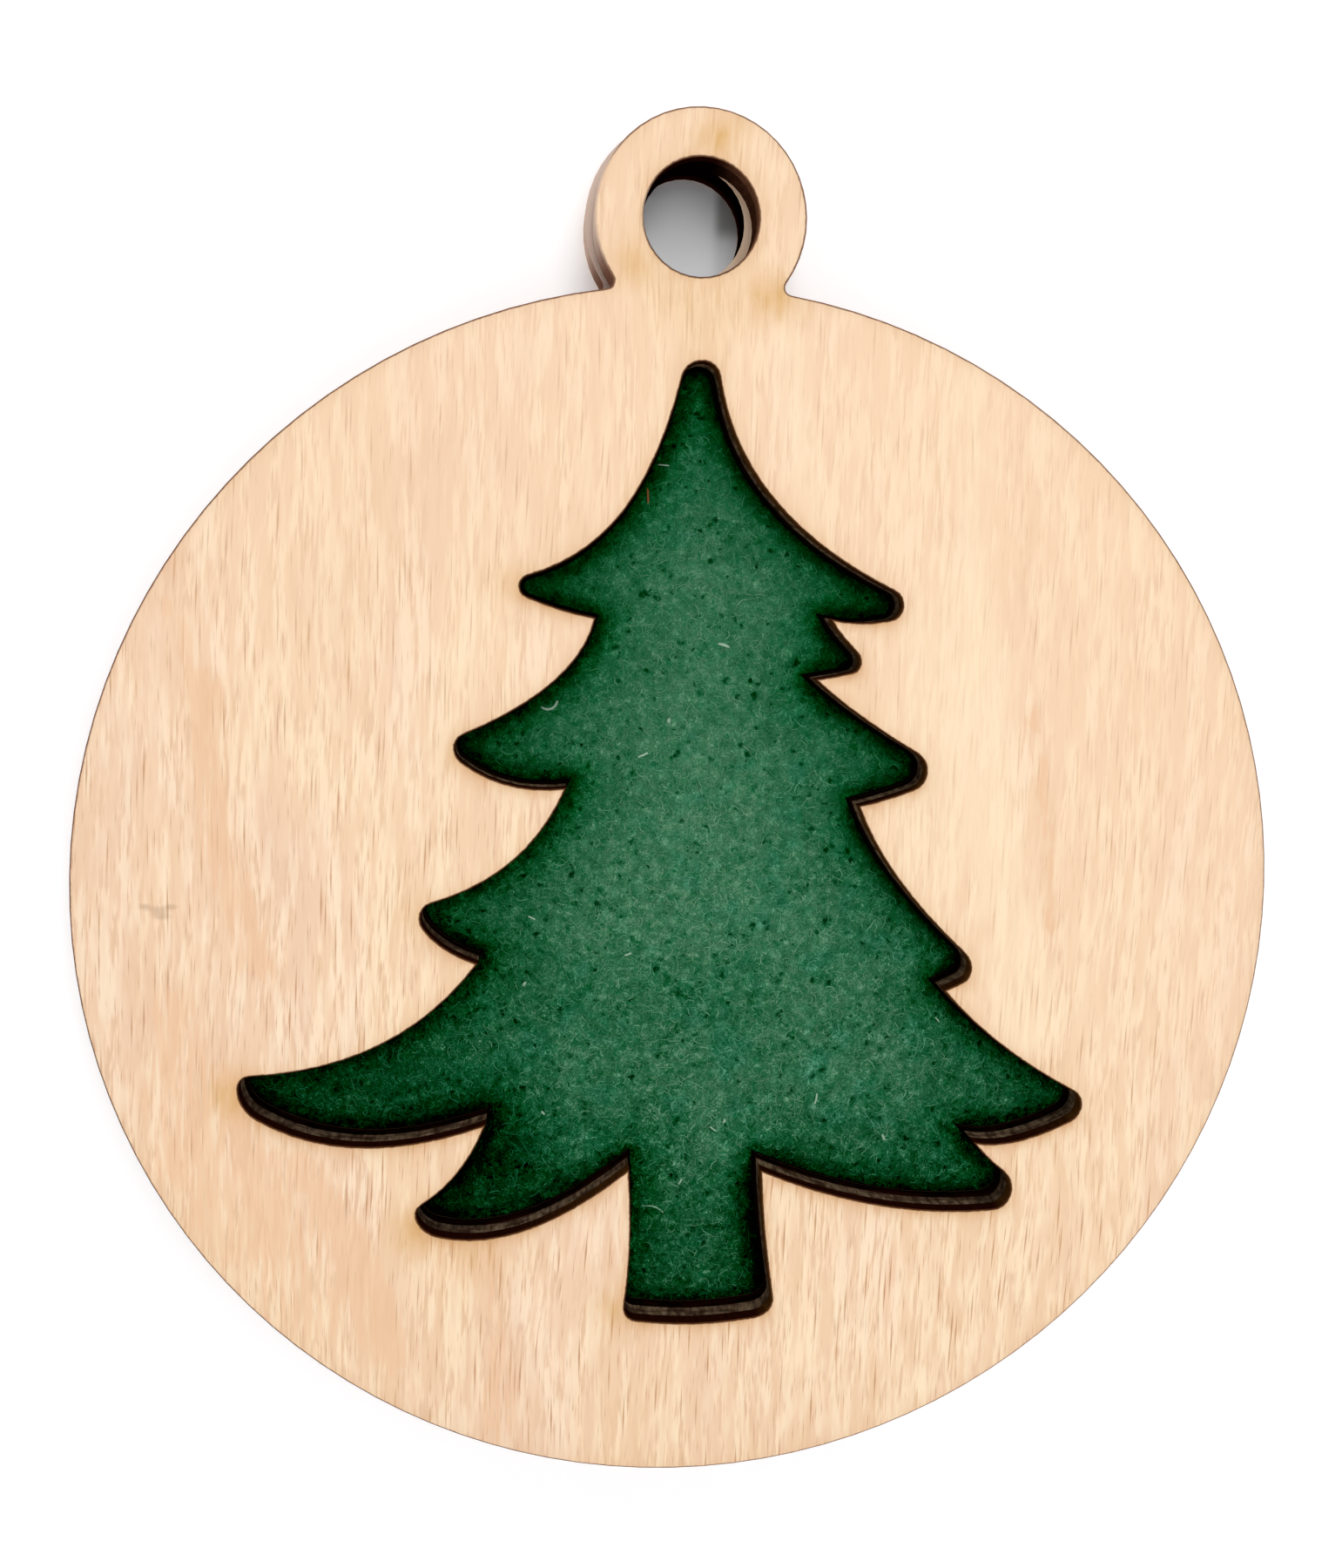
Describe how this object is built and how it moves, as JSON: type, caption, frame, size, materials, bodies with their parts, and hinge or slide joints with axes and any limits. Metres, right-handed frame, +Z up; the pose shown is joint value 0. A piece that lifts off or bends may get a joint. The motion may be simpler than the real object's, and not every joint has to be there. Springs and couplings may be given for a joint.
{
  "type": "wooden christmas ornament",
  "caption": "Flat round ornament of laser-cut plywood with a hanging loop and a fir-tree window inlaid with green felt.",
  "frame": {"origin": "centre of the front panel's hanging hole, in the middle of the glue line between the two panels", "axes": "+X to the right, +Z up as it hangs, -Y out of the face with the tree, +Y out of the plain back"},
  "size_m": [0.0674, 0.006, 0.0764],
  "materials": {
    "beech_face": "bare sanded beech veneer, edges charred by the laser",
    "beech_core": "bare beech core veneer, only its charred edge shows",
    "green_felt": "matt green craft felt",
    "dried_glue": "thin dried wood glue"
  },
  "bodies": {
    "root": {"front_face_veneer": "beech_face", "front_core_veneer": "beech_core", "front_inner_veneer": "beech_face", "felt_insert": "green_felt", "felt_glue_film": "dried_glue", "panel_glue_film": "dried_glue", "back_inner_veneer": "beech_face", "back_core_veneer": "beech_core", "back_face_veneer": "beech_face"}
  },
  "joints": []
}
